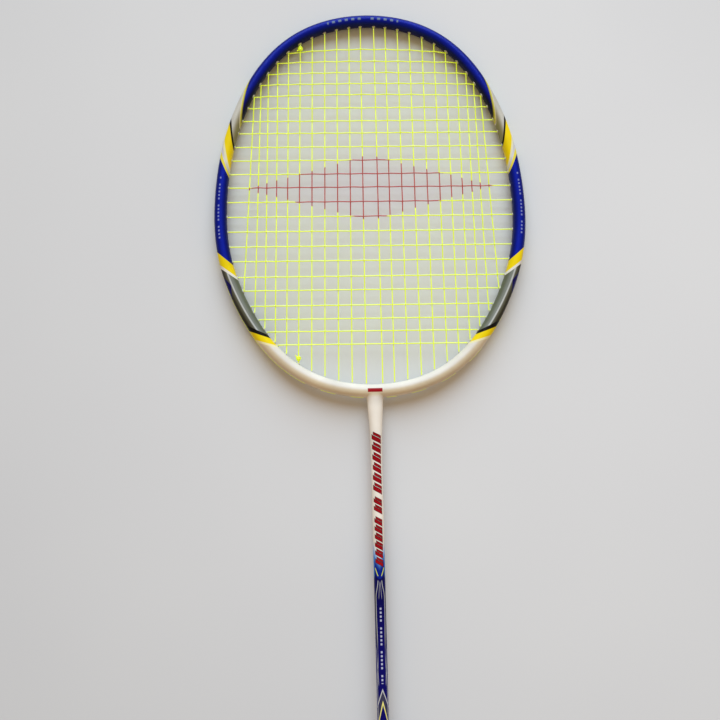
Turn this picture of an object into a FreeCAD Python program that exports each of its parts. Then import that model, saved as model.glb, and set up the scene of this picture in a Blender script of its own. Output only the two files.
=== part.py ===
import FreeCAD, Part
import math
import os
from FreeCAD import Vector as V

# Badminton racket, built from its real pieces.
# Frame of the part: millimetres, +Y from the butt to the tip of the head,
# +X across the head, +Z out of the string plane.  The origin is the centre
# of the flat end face of the butt; the strings lie about the plane Z = 0.

os.makedirs("parts", exist_ok=True)

# ---------------------------------------------------------------- dimensions
HEAD_CY = 547.3                   # centre of the polar outline of the hoop
# outer outline of the hoop: R(phi) = sum a_k cos(k phi), phi = 0 at the tip
OUTLINE = [114.493, -1.540, 13.442, 0.640, 0.257, -0.254, -0.528, 0.110, -0.344]
RIM_W = (7.96, -0.96, -0.15)      # radial width of the rim: w0 + w1 cos + w2 cos2
RIM_T = (10.40, -0.30, 0.10)      # thickness of the rim:    t0 + t1 cos + t2 cos2
RIM_P = 2.3                       # squareness of the rim's section
RIM_WALL = 1.0                    # laminate wall
GROOVE_HALF = 1.75                # half width of the string groove
GROOVE_DEEP = 0.95                # depth of the groove below the outline

STRING_R = 0.35                   # 0.70 mm string
WEAVE = 0.425                     # mains and crosses stand this far off Z = 0
BEND_R = 5.0                      # bend of a string over its neighbour
STRING_DEPTH = 0.27               # centre of a loop below the outline

# grommets
GR_R, GR_BORE, GR_FLANGE = 1.10, 0.65, 1.35       # one string
GW_R, GW_BORE, GW_FLANGE = 1.45, 1.02, 1.60       # two strings
GR_FLANGE_T = 0.30
GR_TIP = 0.60                     # how far a barrel stands inside the hoop
SHARE_Z = 0.42                    # two strings in one barrel, one above the other
LANE_Z = -1.16                    # lane in the groove for a strand that skips holes
PAIR_PITCH = 3.05                 # least distance between neighbouring holes

# neck and shaft
SHAFT_R, SHAFT_BORE = 3.60, 2.30
SPIGOT_R = 3.15                   # reduced end of the shaft inside the neck
NECK_Y0 = 371.0
SHAFT_TOP = 415.5
SHAFT_BOTTOM = 78.0
STEM_R = 2.25

# handle
CORE_X, CORE_Z = 23.4, 20.6       # wooden core, across its flats
CORE_Y0, CORE_Y1 = 2.6, 178.0
CONE_Y1 = 210.0
GRIP_Y1 = 185.0                   # end of the wrap, on the foot of the cone
TAPE_Y0, TAPE_Y1 = 180.5, 190.5
CAP_LEN = 20.0

# strings: distance of each main of one half from the middle of the bed, at
# Y = 650 and at Y = 440, and the height of each cross at its ends
MAIN_650 = [4.45, 12.15, 20.3, 28.25, 36.6, 44.5, 52.7, 59.4, 66.05, 70.85, 74.7]
MAIN_440 = [4.65, 13.6, 22.2, 31.05, 39.6, 48.1, 55.8, 63.15, 69.95, 76.95, 87.4]
CROSS_Y = [649.2, 641.9, 634.7, 627.4, 619.5, 611.0, 602.2, 594.0, 584.7,
           575.7, 566.5, 557.6, 547.9, 538.1, 528.3, 518.4, 508.7, 498.4,
           488.8, 479.4, 470.6, 462.6, 454.1]
CROSS_MID = [651.0, 642.8, 635.1, 627.6, 620.1]   # the first crosses bow towards the tip
BED_TURN = 0.0063                 # the bed lies this much round from the frame's axis
BED_CY = 545.0

Z = V(0, 0, 1)


# ------------------------------------------------------------ outline helpers
def outl(phi):
    """point, unit tangent and outward unit normal of the hoop's outline"""
    r = sum(a * math.cos(k * phi) for k, a in enumerate(OUTLINE))
    d = -sum(k * a * math.sin(k * phi) for k, a in enumerate(OUTLINE))
    s, c = math.sin(phi), math.cos(phi)
    p = V(r * s, HEAD_CY + r * c, 0)
    t = V(d * s + r * c, d * c - r * s, 0)
    t.normalize()
    return p, t, V(-t.y, t.x, 0)


def rim_w(phi):
    return RIM_W[0] + RIM_W[1] * math.cos(phi) + RIM_W[2] * math.cos(2 * phi)


def rim_t(phi):
    return RIM_T[0] + RIM_T[1] * math.cos(phi) + RIM_T[2] * math.cos(2 * phi)


def at_depth(phi, depth, z=0.0):
    p, t, n = outl(phi)
    q = p - n * depth
    return V(q.x, q.y, z)


def spow(v, e):
    return math.copysign(abs(v) ** e, v)


def spline(points, closed=False):
    """spline through the points at even parameters, so that sections agree"""
    n = len(points)
    m = n if closed else n - 1
    b = Part.BSplineCurve()
    b.interpolate(Points=points, PeriodicFlag=closed, Parameters=[k / m for k in range(m + 1)])
    return b.toShape()


def rim_section(phi):
    """outer section of the rim: one edge round the body, one in the groove"""
    p, t, n = outl(phi)
    a, b = rim_w(phi) / 2, rim_t(phi) / 2
    c = p - n * a
    t0 = math.asin((GROOVE_HALF / b) ** (RIM_P / 2))
    body = []
    k = 20
    for i in range(k + 1):
        w = t0 + (2 * math.pi - 2 * t0) * i / k
        u = a * spow(math.cos(w), 2 / RIM_P)
        z = b * spow(math.sin(w), 2 / RIM_P)
        body.append(c + n * u + Z * z)
    lip = a * math.cos(t0) ** (2 / RIM_P)
    deep = lip - (a - GROOVE_DEEP)
    groove = [body[-1]]
    k = 12
    for i in range(1, k):
        w = math.pi * i / k
        z = -GROOVE_HALF * spow(math.cos(w), 0.5)
        u = lip - deep * math.sin(w) ** 0.5
        groove.append(c + n * u + Z * z)
    groove.append(body[0])
    return Part.Wire([spline(body), spline(groove)])


def cavity_section(phi, slack=0.0):
    """hollow of the rim, or with slack the tongue that fills it"""
    p, t, n = outl(phi)
    a, b = rim_w(phi) / 2, rim_t(phi) / 2
    out = a - GROOVE_DEEP - RIM_WALL - slack
    inn = -(a - RIM_WALL) + slack
    ac, u0, bc = (out - inn) / 2, (out + inn) / 2, b - RIM_WALL - slack
    c = p - n * (a - u0)
    pts = []
    for i in range(20):
        w = 2 * math.pi * i / 20
        pts.append(c + n * (ac * spow(math.cos(w), 2 / 2.2)) + Z * (bc * spow(math.sin(w), 2 / 2.2)))
    return Part.Wire([spline(pts, True)])


def half_ring(section, lo=-9.0, hi=189.0, steps=33):
    wires = [section(math.radians(lo + (hi - lo) * i / steps)) for i in range(steps + 1)]
    s = Part.makeLoft(wires, True, False)
    box = Part.makeBox(200, 400, 60, V(0, 380, -30))
    return s.common(box)


def mirror_x(s):
    return s.mirror(V(0, 0, 0), V(1, 0, 0))


def save(name, shape):
    if shape.ShapeType == "Compound" and len(shape.Solids) == 1:
        shape = shape.Solids[0]
    shape.exportStep("parts/%s.step" % name)
    bb = shape.BoundBox
    print("%-20s %-9s solids %3d valid %s vol %9.2f  X %.1f %.1f Y %.1f %.1f Z %.1f %.1f" % (
        name, shape.ShapeType, len(shape.Solids), shape.isValid(), shape.Volume,
        bb.XMin, bb.XMax, bb.YMin, bb.YMax, bb.ZMin, bb.ZMax))
    return shape


def bisect(f, lo, hi):
    a = f(lo)
    for _ in range(70):
        m = (lo + hi) / 2
        b = f(m)
        if (a < 0) == (b < 0):
            lo, a = m, b
        else:
            hi = m
    return (lo + hi) / 2


# -------------------------------------------------------------- string layout
def main_x(i, y):
    """X of main i (1 to 22, left to right) on its drawn line"""
    k, s = (11 - i, -1) if i <= 11 else (i - 12, 1)
    x = MAIN_650[k] + (MAIN_440[k] - MAIN_650[k]) * (650.0 - y) / 210.0
    return s * x + BED_TURN * (y - BED_CY)


def cross_end(j, x):
    """Y of cross j near its ends, at x"""
    return CROSS_Y[j - 1] - BED_TURN * x


def tip_point(phi, z=0.0):
    """mouth of a grommet's barrel, where a string leaves it"""
    return at_depth(phi, rim_w(phi) + GR_TIP + 0.15, z)


def foot(x, y, guess):
    """angle of the outline whose normal passes through x, y"""
    def f(phi):
        p, t, n = outl(phi)
        return (V(x, y, 0) - p).dot(t)
    return bisect(f, guess - 0.35, guess + 0.35)


def polar(x, y):
    return math.atan2(x, y - HEAD_CY)


def main_hole(i, end):
    """angle where main i meets the mouths of the grommets"""
    y0 = 655.0 if end == "T" else 435.0
    g = polar(main_x(i, y0), y0)
    lo, hi = g - 0.3, g + 0.3
    if end == "B" and g > 0:
        hi = min(hi, math.pi)
    if end == "B" and g < 0:
        lo = max(lo, -math.pi)
    return bisect(lambda q: tip_point(q).x - main_x(i, tip_point(q).y), lo, hi)


def cross_hole(j, s):
    g = polar(s * 90.0, CROSS_Y[j - 1])
    return bisect(lambda q: tip_point(q).y - cross_end(j, tip_point(q).x), g - 0.3, g + 0.3)


holes = {}                        # name -> (angle at the outline, kind, tip)
NM, NC = 22, 23
for i in range(6, 18):
    for end in ("T", "B"):
        holes["M%d%s" % (i, end)] = [main_hole(i, end), "wide" if i == 6 else "single", None]
for j in range(6, 19):
    for end, s in (("L", -1), ("R", 1)):
        holes["C%d%s" % (j, end)] = [cross_hole(j, s), "single", None]
for k in range(1, 6):
    for side in (-1, 1):
        m = k if side < 0 else 23 - k
        for end, j in (("T", 6 - k), ("B", 18 + k)):
            cross = "C%d%s" % (j, "L" if side < 0 else "R")
            main = "M%d%s" % (m, end)
            if end == "B" and k > 1:
                # the strings cross inside the hoop and have a hole each
                holes[main] = [main_hole(m, end), "high", None]
                holes[cross] = [cross_hole(j, side), "low", None]
                continue
            # a main and a cross share one hole at the corner
            y = CROSS_Y[j - 1]
            for _ in range(4):
                x = main_x(m, y)
                y = cross_end(j, x)
            holes[main] = [foot(x, y, polar(x, y)), "wide", None]
            holes[cross] = holes[main]

# the two middle mains straddle the neck: their barrels lean outwards
for m, s in ((11, -1), (12, 1)):
    phi_tip = bisect(lambda q: abs(tip_point(q).x) - 5.3, math.pi - 0.12, math.pi - 0.005)
    tip = tip_point(phi_tip)
    phi_out = bisect(lambda q: abs(at_depth(q, STRING_DEPTH).x) - 7.4, math.pi - 0.12, math.pi - 0.005)
    holes["M%dB" % m] = [s * phi_out, "lean", V(s * abs(tip.x), tip.y, 0)]

# where a main's hole and a cross's hole come close, they stand a pitch apart
row = sorted({id(h): h for h in holes.values() if h[1] in ("high", "low")}.values(), key=lambda h: h[0])
for a, b in zip(row, row[1:]):
    gap = (at_depth(b[0], 0.8) - at_depth(a[0], 0.8)).Length
    if gap < PAIR_PITCH:
        step = (b[0] - a[0]) * (PAIR_PITCH / gap - 1.0) / 2
        a[0] -= step
        b[0] += step

for h in holes.values():
    if h[2] is None:
        h[2] = tip_point(h[0])


def hole_axis(h):
    """unit vector from the barrel's mouth out to the groove"""
    e = at_depth(h[0], STRING_DEPTH)
    d = e - h[2]
    d.normalize()
    return d


unique = []
for name in sorted(holes):
    if all(holes[name] is not holes[u] for u in unique):
        unique.append(name)
ring = sorted(unique, key=lambda u: holes[u][0])
gaps = [((at_depth(holes[ring[k]][0], 0.8) - at_depth(holes[ring[k - 1]][0], 0.8)).Length,
         ring[k - 1], ring[k]) for k in range(len(ring))]
print("holes", len(unique), "closest", [("%.2f" % g[0], g[1], g[2]) for g in sorted(gaps)[:6]])

# -------------------------------------------------------------------- grommets
groups = {"grommets_top": [], "grommets_bottom": [], "grommets_left": [],
          "grommets_right": [], "grommets_wide": []}
hole_tools = []
bar_tools = []
for name in unique:
    phi, kind, tip = holes[name]
    d = hole_axis(holes[name])
    shift = Z * {"high": SHARE_Z, "low": -SHARE_Z}.get(kind, 0.0)
    wide = kind == "wide"
    r, bore, fl = (GW_R, GW_BORE, GW_FLANGE) if wide else (GR_R, GR_BORE, GR_FLANGE)
    mouth = tip + d * 0.15 + shift
    top = at_depth(phi, GROOVE_DEEP - GR_FLANGE_T) + shift
    length = (top - mouth).dot(d)
    body = Part.makeCylinder(r, length, mouth, d)
    # rounded mouth: a short cone on the inside end
    cone = Part.makeCone(r - 0.3, r, 0.35, mouth - d * 0.0, d)
    body = Part.makeCylinder(r, length - 0.35, mouth + d * 0.35, d).fuse(cone)
    if kind != "lean":
        body = body.fuse(Part.makeCylinder(fl, GR_FLANGE_T, top - d * GR_FLANGE_T, d))
        hole_tools.append(Part.makeCylinder(fl + 0.03, 2.0, top - d * GR_FLANGE_T, d))
    body = body.cut(Part.makeCylinder(bore, length + 2, mouth - d, d)).removeSplitter()
    hole_tools.append(Part.makeCylinder(r + 0.02, length + 4, mouth - d * 2, d))
    bar_tools.append(Part.makeCylinder(r + 0.25, length + 4, mouth - d * 2, d))
    if wide:
        g = "grommets_wide"
    elif name.startswith("M"):
        g = "grommets_top" if name.endswith("T") else "grommets_bottom"
    else:
        g = "grommets_left" if name.endswith("L") else "grommets_right"
    groups[g].append(body.Solids[0])

for g, s in groups.items():
    save(g, Part.makeCompound(s))

# ------------------------------------------------------------------ head frame
rim_half = half_ring(rim_section)
cav_half = half_ring(cavity_section)


def superellipse_wire(y, ax, az, p=2.0, n=24):
    pts = []
    for i in range(n):
        w = 2 * math.pi * i / n
        pts.append(V(ax * spow(math.cos(w), 2 / p), y, az * spow(math.sin(w), 2 / p)))
    return Part.Wire([spline(pts, True)])


# neck: from the round shaft, through a slim cone, flaring into the rim
NECK = [(NECK_Y0, 3.60, 3.60), (378.0, 3.62, 3.66), (386.0, 3.72, 3.86),
        (394.0, 3.88, 4.12), (401.0, 4.15, 4.42), (408.0, 4.60, 4.78),
        (413.0, 4.95, 5.02), (416.0, 5.08, 5.12), (417.6, 5.25, 5.20),
        (418.7, 5.60, 5.25), (419.6, 6.30, 5.28), (420.5, 7.60, 5.30),
        (421.6, 9.8, 5.31), (423.4, 12.8, 5.32)]
neck = Part.makeLoft([superellipse_wire(*s) for s in NECK], True, False)
# the groove runs on over the flare, beside the neck
chan = []
for side in (-1, 1):
    wires = []
    for i in range(9):
        phi = side * (math.pi - 0.045 - 0.02 * i)
        q, t, n = outl(phi)
        f = q - n * GROOVE_DEEP
        g = GROOVE_HALF
        pts = [f + Z * -g, f + n * 5 + Z * -g, f + n * 5 + Z * g, f + Z * g]
        wires.append(Part.makePolygon(pts + [pts[0]]))
    chan.append(Part.makeLoft(wires, True, True))
neck = neck.cut(chan)

outer = rim_half.fuse([mirror_x(rim_half), neck]).removeSplitter()
cavity = cav_half.fuse(mirror_x(cav_half))
bores = [Part.makeCylinder(SPIGOT_R + 0.03, SHAFT_TOP + 0.3 - NECK_Y0 + 2, V(0, NECK_Y0 - 2, 0), V(0, 1, 0)),
         Part.makeCylinder(STEM_R + 0.05, 14.0, V(0, SHAFT_TOP - 2, 0), V(0, 1, 0)).common(
             Part.makeBox(20, 8.4, 20, V(-10, SHAFT_TOP - 2, -10)))]
frame = outer.cut([cavity] + bores)
frame = frame.cut(hole_tools)
solids = sorted(frame.Solids, key=lambda s: -s.Volume)
print("frame solids", [round(s.Volume, 2) for s in solids[:6]])
save("head_frame", solids[0])

# --------------------------------------------------------------------- t joint
wires = [cavity_section(math.pi + math.radians(a), 0.10) for a in (-12, -9, -6, -3, 0, 3, 6, 9, 12)]
bar = Part.makeLoft(wires, True, False)
stem = Part.makeCylinder(STEM_R, 50.0, V(0, 374.0, 0), V(0, 1, 0))
tj = bar.fuse(stem).cut(bar_tools)
save("t_joint", sorted(tj.Solids, key=lambda s: -s.Volume)[0])


# ----------------------------------------------------------------------- shaft
def revolve_profile(pts):
    """solid of revolution about the Y axis from (radius, y) points"""
    w = Part.makePolygon([V(r, y, 0) for r, y in pts] + [V(pts[0][0], pts[0][1], 0)])
    return Part.Face(w).revolve(V(0, 0, 0), V(0, 1, 0), 360)


shaft = revolve_profile([(SHAFT_BORE, SHAFT_BOTTOM), (SHAFT_R, SHAFT_BOTTOM),
                         (SHAFT_R, NECK_Y0 - 0.02), (SPIGOT_R, NECK_Y0 - 0.02),
                         (SPIGOT_R, SHAFT_TOP), (SHAFT_BORE, SHAFT_TOP)])
save("shaft", shaft)


# ---------------------------------------------------------------------- handle
def oct_pts(ax, az, y, cut=0.29):
    """eight-sided section, ax and az across the flats"""
    hx, hz = ax / 2, az / 2
    c = cut * min(ax, az)
    xy = [(hx, -hz + c), (hx, hz - c), (hx - c, hz), (-hx + c, hz),
          (-hx, hz - c), (-hx, -hz + c), (-hx + c, -hz), (hx - c, -hz)]
    return [V(x, y, z) for x, z in xy]


def oct_wire(ax, az, y):
    """the same section with its corners rounded by short arcs"""
    p = oct_pts(ax, az, y)
    r = 0.18 * min(ax, az)
    edges = []
    n = len(p)
    ends = []
    for i in range(n):
        a, b, c = p[i - 1], p[i], p[(i + 1) % n]
        d0, d1 = (b - a), (c - b)
        d0.normalize()
        d1.normalize()
        k = 0.10 * min(ax, az)
        s, e = b - d0 * k, b + d1 * k
        m = b + (d1 - d0) * (k * 0.215)
        ends.append((s, m, e))
    for i in range(n):
        s, m, e = ends[i]
        edges.append(Part.Arc(s, m, e).toShape())
        nxt = ends[(i + 1) % n][0]
        edges.append(Part.LineSegment(e, nxt).toShape())
    return Part.Wire(edges)


def oct_loft(secs):
    return Part.makeLoft([oct_wire(ax, az, y) for y, ax, az in secs], True, True)


# wooden core: eight-sided, with a shoulder where the cap goes on
core = oct_loft([(CORE_Y0, CORE_X, CORE_Z), (CORE_Y1, CORE_X, CORE_Z)])
core = core.cut([Part.makeCylinder(SHAFT_R + 0.03, 200, V(0, SHAFT_BOTTOM - 0.3, 0), V(0, 1, 0)),
                 Part.makeCylinder(3.0, 60.0, V(0, 20.0, 0), V(0, 1, 0))])

# butt cap: cup over the core's end, flaring to its rim
cap = oct_loft([(0.0, 28.6, 25.8), (0.9, 30.2, 27.4), (3.0, 30.6, 27.8)])
cap = cap.fuse(oct_loft([(3.0, 28.6, 25.8), (8.0, 27.6, 24.8), (14.0, 26.2, 23.4), (CAP_LEN, 24.6, 21.8)]))
cap = cap.cut(oct_loft([(CORE_Y0 - 0.02, CORE_X + 0.06, CORE_Z + 0.06), (CAP_LEN + 1, CORE_X + 0.06, CORE_Z + 0.06)]))
badge_r = 9.0
cap = cap.cut(Part.makeCylinder(badge_r + 0.03, 0.8, V(0, 0, 0), V(0, 1, 0)))
badge = Part.makeCylinder(badge_r, 0.8, V(0, 0, 0), V(0, 1, 0))

# two staples through the sides of the cap, each a crown and two legs
staples = []
staple_holes = []
for s in (-1, 1):
    x0 = s * 13.32
    crown = Part.makeBox(0.7, 0.9, 6.0, V(x0 - 0.35, 10.0, -3.0))
    legs = []
    for z in (-3.0, 2.1):
        legs.append(Part.makeBox(8.0, 0.9, 0.9, V(x0 - 8.0 if s > 0 else x0, 10.0, z)))
    staples.append(crown.fuse(legs).removeSplitter().Solids[0])
    hole = Part.makeBox(2.3, 0.96, 6.06, V(x0 - 0.37 if s > 0 else x0 - 1.93, 9.97, -3.03))
    staple_holes.append(hole)
    for z in (-3.0, 2.1):
        staple_holes.append(Part.makeBox(8.06, 0.96, 0.96, V(x0 - 8.03 if s > 0 else x0 - 0.03, 9.97, z - 0.03)))
core = core.cut(staple_holes)
cap = cap.cut(staple_holes)
save("butt_cap", cap)
save("butt_badge", badge)
save("butt_cap_staples", Part.makeCompound(staples))

# cone: moulded collar over the shaft, seated on the end of the core
CONE_LINE = [(11.6, CORE_Y1 + 0.02), (11.05, 182.0), (10.1, 187.0), (8.85, 192.5), (7.55, 198.0),
             (6.45, 203.0), (5.65, 207.0), (5.1, CONE_Y1)]


def cone_solid(bore):
    """the cone's smooth outer line, turned about the axis"""
    c = Part.BSplineCurve()
    c.interpolate([V(r, y, 0) for r, y in CONE_LINE])
    (r0, y0), (r1, y1) = CONE_LINE[0], CONE_LINE[-1]
    rest = Part.makePolygon([V(r1, y1, 0), V(bore, y1, 0), V(bore, y0, 0), V(r0, y0, 0)])
    w = Part.Wire([c.toShape()] + rest.Edges)
    return Part.Face(w).revolve(V(0, 0, 0), V(0, 1, 0), 360)


cone = cone_solid(SHAFT_R + 0.04)
save("cone", cone)

# grip tack: small nail that holds the start of the wrap to the core
tack_c = V(0, 26.0, CORE_Z / 2)
tack = Part.makeCylinder(1.5, 0.45, tack_c + V(0, 0, 0.0), Z)
tack = tack.fuse(Part.makeCylinder(0.5, 6.0, tack_c - Z * 6.0, Z)).removeSplitter()
core = core.cut(Part.makeCylinder(0.52, 6.05, tack_c - Z * 6.05, Z))
save("grip_tack", tack)
save("handle_core", core)

# grip wrap: cushioned sleeve over cap, core and the foot of the cone
grip = oct_loft([(3.02, 31.0, 28.2), (9.0, 30.4, 27.6), (16.0, 28.8, 26.0), (24.0, 27.4, 24.6),
                 (40.0, 27.2, 24.4), (170.0, 27.2, 24.4), (CORE_Y1 + 1.0, 25.4, 24.3)])
grip_top = revolve_profile([(0.0, CORE_Y1 + 1.0), (12.15, CORE_Y1 + 1.0), (12.0, 182.0),
                            (11.6, GRIP_Y1), (0.0, GRIP_Y1)])
grip_shell = grip.fuse(grip_top)
grip_shell = grip_shell.cut([oct_loft([(0.0, CORE_X, CORE_Z), (CORE_Y1 + 0.02, CORE_X, CORE_Z)]),
                             oct_loft([(3.0, 28.6, 25.8), (8.0, 27.6, 24.8), (14.0, 26.2, 23.4), (CAP_LEN, 24.6, 21.8)]),
                             Part.makeCylinder(11.6, 0.12, V(0, CORE_Y1 - 0.1, 0), V(0, 1, 0)),
                             cone_solid(0.0),
                             Part.makeCylinder(1.52, 0.5, tack_c, Z)]).removeSplitter()
gs = sorted(grip_shell.Solids, key=lambda s: -s.Volume)
print("grip solids", [round(s.Volume, 2) for s in gs[:4]])
save("grip_wrap", gs[0])

# finishing tape: two turns of thin tape over the end of the wrap and the cone
tape = revolve_profile([(8.0, TAPE_Y1), (9.62, TAPE_Y1), (9.95, 189.3), (10.55, 187.2), (11.05, 186.0),
                        (11.75, 185.3), (12.05, 184.2), (12.3, 182.0), (12.38, TAPE_Y0), (11.0, TAPE_Y0)])
tape = tape.cut([cone_solid(0.0), grip_top])
tape = sorted(tape.Solids, key=lambda s: -s.Volume)[0]
save("finishing_tape", tape)


# --------------------------------------------------------------------- strings
def tube(points, radii, r=STRING_R):
    """round string along straight runs joined by tangent arcs"""
    n = len(points)
    dirs = []
    for i in range(n - 1):
        d = points[i + 1] - points[i]
        dirs.append((V(d), d.Length))
        dirs[-1][0].normalize()
    trim = [0.0] * n
    turn = [0.0] * n
    for i in range(1, n - 1):
        c = max(-1.0, min(1.0, dirs[i - 1][0].dot(dirs[i][0])))
        turn[i] = math.acos(c)
        trim[i] = radii[i] * math.tan(turn[i] / 2)
    for i in range(1, n - 1):
        room = 0.49 * min(dirs[i - 1][1], dirs[i][1])
        if trim[i] > room:
            trim[i] = room
    d0 = dirs[0][0]
    circ = Part.Edge(Part.Circle(points[0], d0, r))
    cap0 = Part.Face(Part.Wire([circ]))
    if cap0.normalAt(0, 0).dot(d0) > 0:
        cap0.reverse()
    faces = [cap0]

    def outward(f, centre, tangent):
        a0, a1, b0, b1 = f.ParameterRange
        u, v = (a0 + a1) / 2, (b0 + b1) / 2
        q = f.valueAt(u, v) - centre
        q = q - tangent * q.dot(tangent)
        if f.normalAt(u, v).dot(q) < 0:
            f.reverse()
        return f
    edge, pos = circ, V(points[0])
    total = 0.0

    def far_edge(face, centre):
        best, bd = None, 1e9
        for e in face.Edges:
            if isinstance(e.Curve, Part.Circle) and e.isClosed() and abs(e.Curve.Radius - r) < 1e-6:
                dd = (e.Curve.Center - centre).Length
                if dd < bd:
                    best, bd = e, dd
        if bd > 1e-5:
            raise RuntimeError("lost the string's section %g" % bd)
        return best

    for i in range(1, n):
        d, _ = dirs[i - 1]
        end = points[i] - d * trim[i]
        seg = end - pos
        if seg.Length > 1e-6:
            f = edge.extrude(seg)
            faces.append(outward(f, pos, d))
            edge = far_edge(f, end)
            total += seg.Length
        pos = V(end)
        if i < n - 1 and turn[i] > 1e-5 and trim[i] > 1e-6:
            d2 = dirs[i][0]
            rad = trim[i] / math.tan(turn[i] / 2)
            ax = d.cross(d2)
            ax.normalize()
            side = ax.cross(d)
            cen = pos + side * rad
            f = edge.revolve(cen, ax, math.degrees(turn[i]))
            pos = points[i] + d2 * trim[i]
            bis = d + d2
            bis.normalize()
            faces.append(outward(f, cen - side * rad if turn[i] < 0.01 else cen + (points[i] - cen).normalize() * rad, bis))
            edge = far_edge(f, pos)
            total += rad * turn[i]
    cap1 = Part.Face(Part.Wire([edge]))
    if cap1.normalAt(0, 0).dot(dirs[-1][0]) < 0:
        cap1.reverse()
    faces.append(cap1)
    shell = Part.Shell(faces)
    sol = Part.Solid(shell)
    if sol.Volume < 0:
        sol.reverse()
        sol = Part.Solid(sol.Shells[0])
    ratio = abs(sol.Volume) / (total * math.pi * r * r)
    if not shell.isClosed() or abs(ratio - 1) > 0.002:
        print("string run of %.0f mm: faces %d closed %s volume ratio %.4f" % (total, len(faces), shell.isClosed(), ratio))
    return sol, total


def over(i, j):
    """+1 where main i lies over cross j"""
    return -1 if (i + j) % 2 == 0 else 1


def cross_y(j, x):
    """height of cross j at x: straight between its mouths, or slightly bowed"""
    a, b = holes["C%dL" % j][2], holes["C%dR" % j][2]
    f = (x - a.x) / (b.x - a.x)
    y = a.y + (b.y - a.y) * f
    if j <= len(CROSS_MID):
        y += (CROSS_MID[j - 1] - (a.y + b.y) / 2) * (1 - (2 * f - 1) ** 2)
    return y


def main_line(i):
    return holes["M%dT" % i][2], holes["M%dB" % i][2]


def node(i, j):
    """crossing of main i and cross j"""
    a, b = main_line(i)
    y = CROSS_Y[j - 1]
    for _ in range(8):
        x = a.x + (b.x - a.x) * (a.y - y) / (a.y - b.y)
        y = cross_y(j, x)
    return x, y


def mains_of(j):
    if j <= 5:
        return range(7 - j, 17 + j)
    if j == 19:
        return range(2, 22)
    if j > 19:
        return range(j - 18, 42 - j)
    return range(1, 23)


def crosses_of(i):
    k = min(i, 23 - i)
    if k == 1:
        return range(6, 19)
    if k <= 5:
        return range(7 - k, 19 + k)
    return range(1, 24)


def hole_z(name):
    """height of a string in its barrel"""
    if holes[name][1] not in ("wide", "high", "low"):
        return 0.0
    return SHARE_Z if name.startswith("M") else -SHARE_Z


path, radii, cuts = [], [], []


def put(p, r):
    path.append(p)
    radii.append(r)


def cut_here():
    """the run ends halfway to the next point put"""
    cuts.append(len(path))


def make_runs():
    """one solid for each run, meeting face to face in the groove"""
    solids, total = [], 0.0
    pts, rad = [path[0]], [0.0]
    for k in range(1, len(path)):
        if k in cuts:
            m = (path[k - 1] + path[k]) * 0.5
            s, l = tube(pts + [m], rad + [0.0])
            solids.append(s)
            total += l
            pts, rad = [m], [0.0]
        pts.append(path[k])
        rad.append(radii[k])
    s, l = tube(pts, rad)
    solids.append(s)
    return solids, total + l


def mouth(name, z=None):
    t = holes[name][2]
    return V(t.x, t.y, hole_z(name) if z is None else z)


def exit_pt(name, z=None):
    return at_depth(holes[name][0], STRING_DEPTH, hole_z(name) if z is None else z)


def along(phi0, phi1, z0, z1, lane=None):
    """points in the groove between two holes, easing from z0 to z1"""
    n = max(1, int(abs(phi1 - phi0) / math.radians(3.2)))
    for k in range(1, n + 1):
        if k == (n + 1) // 2 + 1 or (n == 1 and k == 1):
            cut_here()
        f = k / (n + 1.0)
        phi = phi0 + (phi1 - phi0) * f
        if lane is None:
            z = z0 + (z1 - z0) * f
        else:
            z = lane
        put(at_depth(phi, STRING_DEPTH, z), 60.0)


def outside(n0, n1, z0=None, z1=None, lane=None):
    """from inside barrel n0 out, along the groove, to barrel n1"""
    h0, h1 = holes[n0], holes[n1]
    a = hole_z(n0) if z0 is None else z0
    b = hole_z(n1) if z1 is None else z1
    put(exit_pt(n0, a), 0.7)
    if lane is None:
        along(h0[0], h1[0], a, b)
    else:
        p0, p1 = h0[0], h1[0]
        s = 1 if p1 > p0 else -1
        # clear the first flange, then take the lane, then come back to the hole
        put(at_depth(p0 + s * math.radians(1.9), STRING_DEPTH, lane), 2.0)
        along(p0 + s * math.radians(1.9), p1 - s * math.radians(1.9), lane, lane, lane)
        put(at_depth(p1 - s * math.radians(1.9), STRING_DEPTH, lane), 2.0)
    put(exit_pt(n1, b), 0.7)


def run_main(i, down):
    ends = ("T", "B") if down else ("B", "T")
    put(mouth("M%d%s" % (i, ends[0])), 1.0)
    js = list(crosses_of(i))
    if not down:
        js.reverse()
    for j in js:
        x, y = node(i, j)
        put(V(x, y, over(i, j) * (WEAVE + 0.022)), BEND_R)
    put(mouth("M%d%s" % (i, ends[1])), 1.0)


def run_cross(j, to_right):
    ends = ("L", "R") if to_right else ("R", "L")
    put(mouth("C%d%s" % (j, ends[0])), 1.0)
    ms = list(mains_of(j))
    if not to_right:
        ms.reverse()
    for i in ms:
        x, y = node(i, j)
        put(V(x, y, -over(i, j) * (WEAVE + 0.022)), BEND_R)
    put(mouth("C%d%s" % (j, ends[1])), 1.0)


# The bed is one length of string with two knots.  It starts at the lower
# knot on main 6, goes out and back to main 1, up and down all the mains,
# then from the foot of main 22 to cross 23 and up all the crosses, and ends
# at the upper knot on main 6.
KNOT_GAP = 0.7                    # from the barrel's mouth to the knot's face


def knot_dir(end):
    a, b = main_line(6)
    d = (b - a) if end == "T" else (a - b)
    d = V(d.x, d.y, 0)
    d.normalize()
    return d


kd = knot_dir("B")
start = mouth("M6B", -SHARE_Z)
put(start + kd * KNOT_GAP, 0)
put(start, 1.0)
outside("M6B", "M1B", z0=-SHARE_Z, lane=LANE_Z)
for i in range(1, 12):
    down = i % 2 == 0
    run_main(i, down)
    if i < 11:
        e = "B" if down else "T"
        outside("M%d%s" % (i, e), "M%d%s" % (i + 1, e))
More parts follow.
